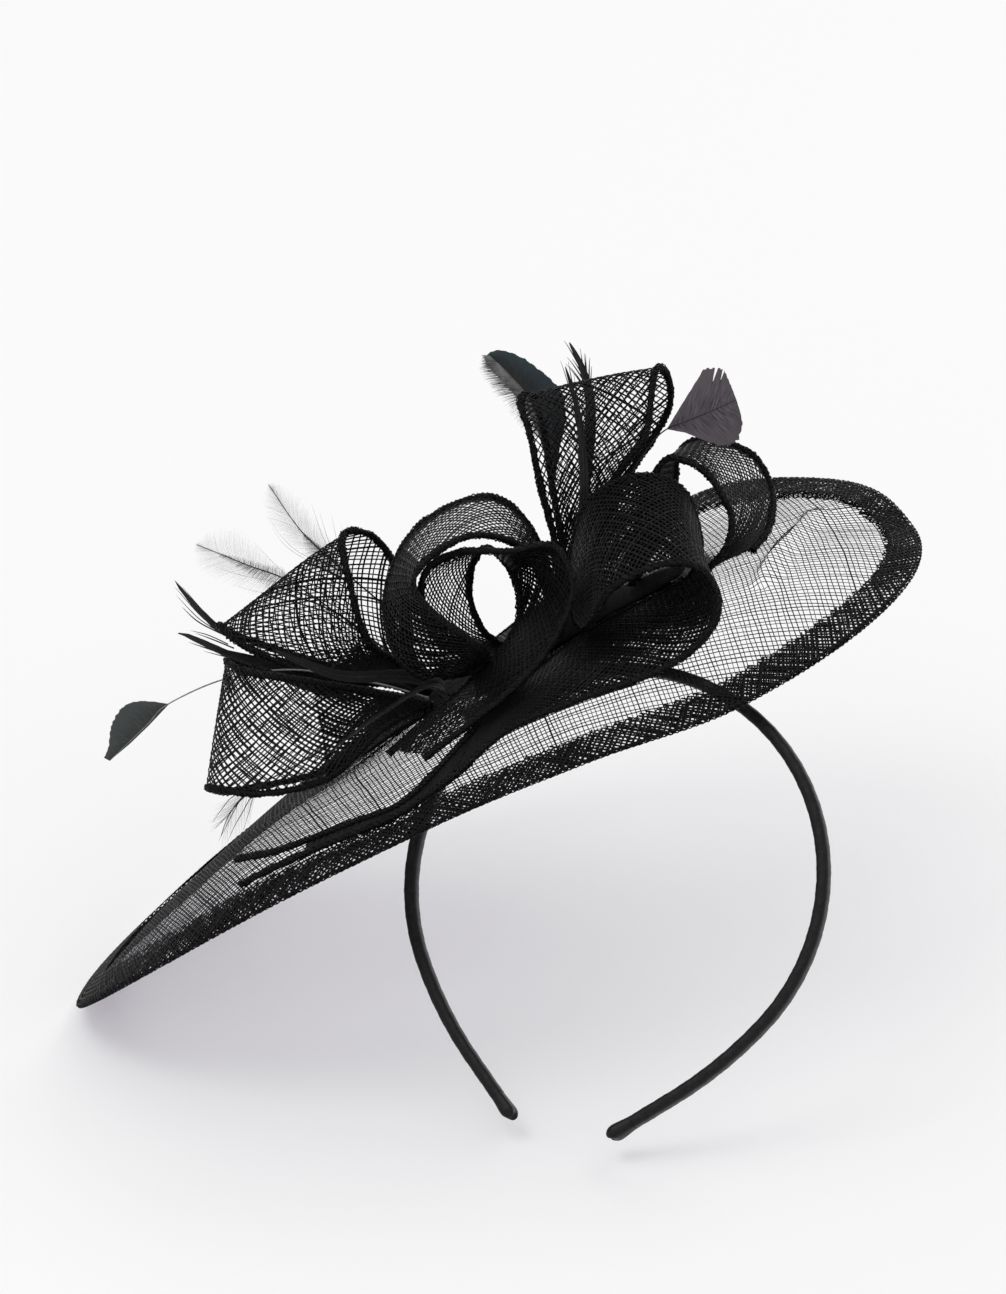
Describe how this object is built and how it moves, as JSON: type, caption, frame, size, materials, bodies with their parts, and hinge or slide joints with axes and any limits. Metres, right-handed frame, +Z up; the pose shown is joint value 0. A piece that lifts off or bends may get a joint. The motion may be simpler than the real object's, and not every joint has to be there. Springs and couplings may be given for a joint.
{
  "type": "fascinator headpiece",
  "caption": "Black woven sinamay fascinator: a wired oval saucer brim with ribbon loops and feathers, sewn to a narrow satin-covered headband.",
  "frame": {"origin": "the middle of the head space, at the centre of the headband's round", "axes": "+Z up; +X to the right along the brim's rise, as the headpiece stands with its headband tips down; +Y away from the side the brim's front edge faces"},
  "size_m": [0.2625, 0.2177, 0.191],
  "materials": {
    "sinamay": "open weave, satin sheen",
    "satin": "satin",
    "felt": "matte felt",
    "thread": "matte thread",
    "black_feather": "soft sheen",
    "grey_feather": "wispy",
    "core_plastic": "moulded plastic strip",
    "edge_wire": "millinery wire"
  },
  "bodies": {
    "headpiece": {"band_core_crown": "core_plastic", "band_sleeve_crown": "satin", "brim_sinamay": "sinamay", "brim_binding": "sinamay", "brim_wire": "edge_wire", "seat_pad": "felt", "seat_stitch_1": "thread", "seat_stitch_2": "thread", "seat_stitch_3": "thread", "seat_stitch_4": "thread", "trim_base": "felt", "loop_left_low": "sinamay", "loop_left_high": "sinamay", "loop_ring": "sinamay", "ring_tail": "sinamay", "loop_front": "sinamay", "loop_right": "sinamay", "loop_top": "sinamay", "feather_biot_back": "black_feather", "feather_biot_front": "black_feather", "feather_arrow": "black_feather", "feather_leaf": "black_feather", "feather_spike_high": "black_feather", "feather_spike_low": "black_feather", "feather_hackle": "black_feather", "feather_sickle_high": "black_feather", "feather_sickle_low": "black_feather"},
    "leg_left": {"band_core_left": "core_plastic", "band_sleeve_left": "satin", "band_tip_left": "satin"},
    "leg_right": {"band_core_right": "core_plastic", "band_sleeve_right": "satin", "band_tip_right": "satin"},
    "coque": {"feather_coque": "black_feather"},
    "wisp_low": {"feather_wisp_low": "grey_feather"},
    "wisp_high": {"feather_wisp_high": "grey_feather"}
  },
  "joints": [
    {"name": "leg_left_flex", "type": "hinge", "parent": "headpiece", "child": "leg_left", "pos_m": [-0.05292, 0.0352, 0.01779], "axis": [0.2824, 0.7357, -0.6157], "range_deg": [-4, 16], "stiffness_Nm_per_rad": 0.35},
    {"name": "leg_right_flex", "type": "hinge", "parent": "headpiece", "child": "leg_right", "pos_m": [0.06288, -0.00925, 0.01779], "axis": [-0.2824, -0.7357, 0.6157], "range_deg": [-4, 16], "stiffness_Nm_per_rad": 0.35},
    {"name": "coque_sway", "type": "hinge", "parent": "headpiece", "child": "coque", "pos_m": [-0.01234, 0.09923, 0.04092], "axis": [-0.8767, -0.2393, -0.4172], "range_deg": [-1, 14], "stiffness_Nm_per_rad": 0.006},
    {"name": "wisp_low_sway", "type": "hinge", "parent": "headpiece", "child": "wisp_low", "pos_m": [-0.05777, 0.08581, 0.01944], "axis": [-0.8767, -0.2393, -0.4172], "range_deg": [-1, 14], "stiffness_Nm_per_rad": 0.006},
    {"name": "wisp_high_sway", "type": "hinge", "parent": "headpiece", "child": "wisp_high", "pos_m": [-0.05264, 0.08821, 0.02168], "axis": [-0.8767, -0.2393, -0.4172], "range_deg": [-1, 14], "stiffness_Nm_per_rad": 0.006}
  ]
}
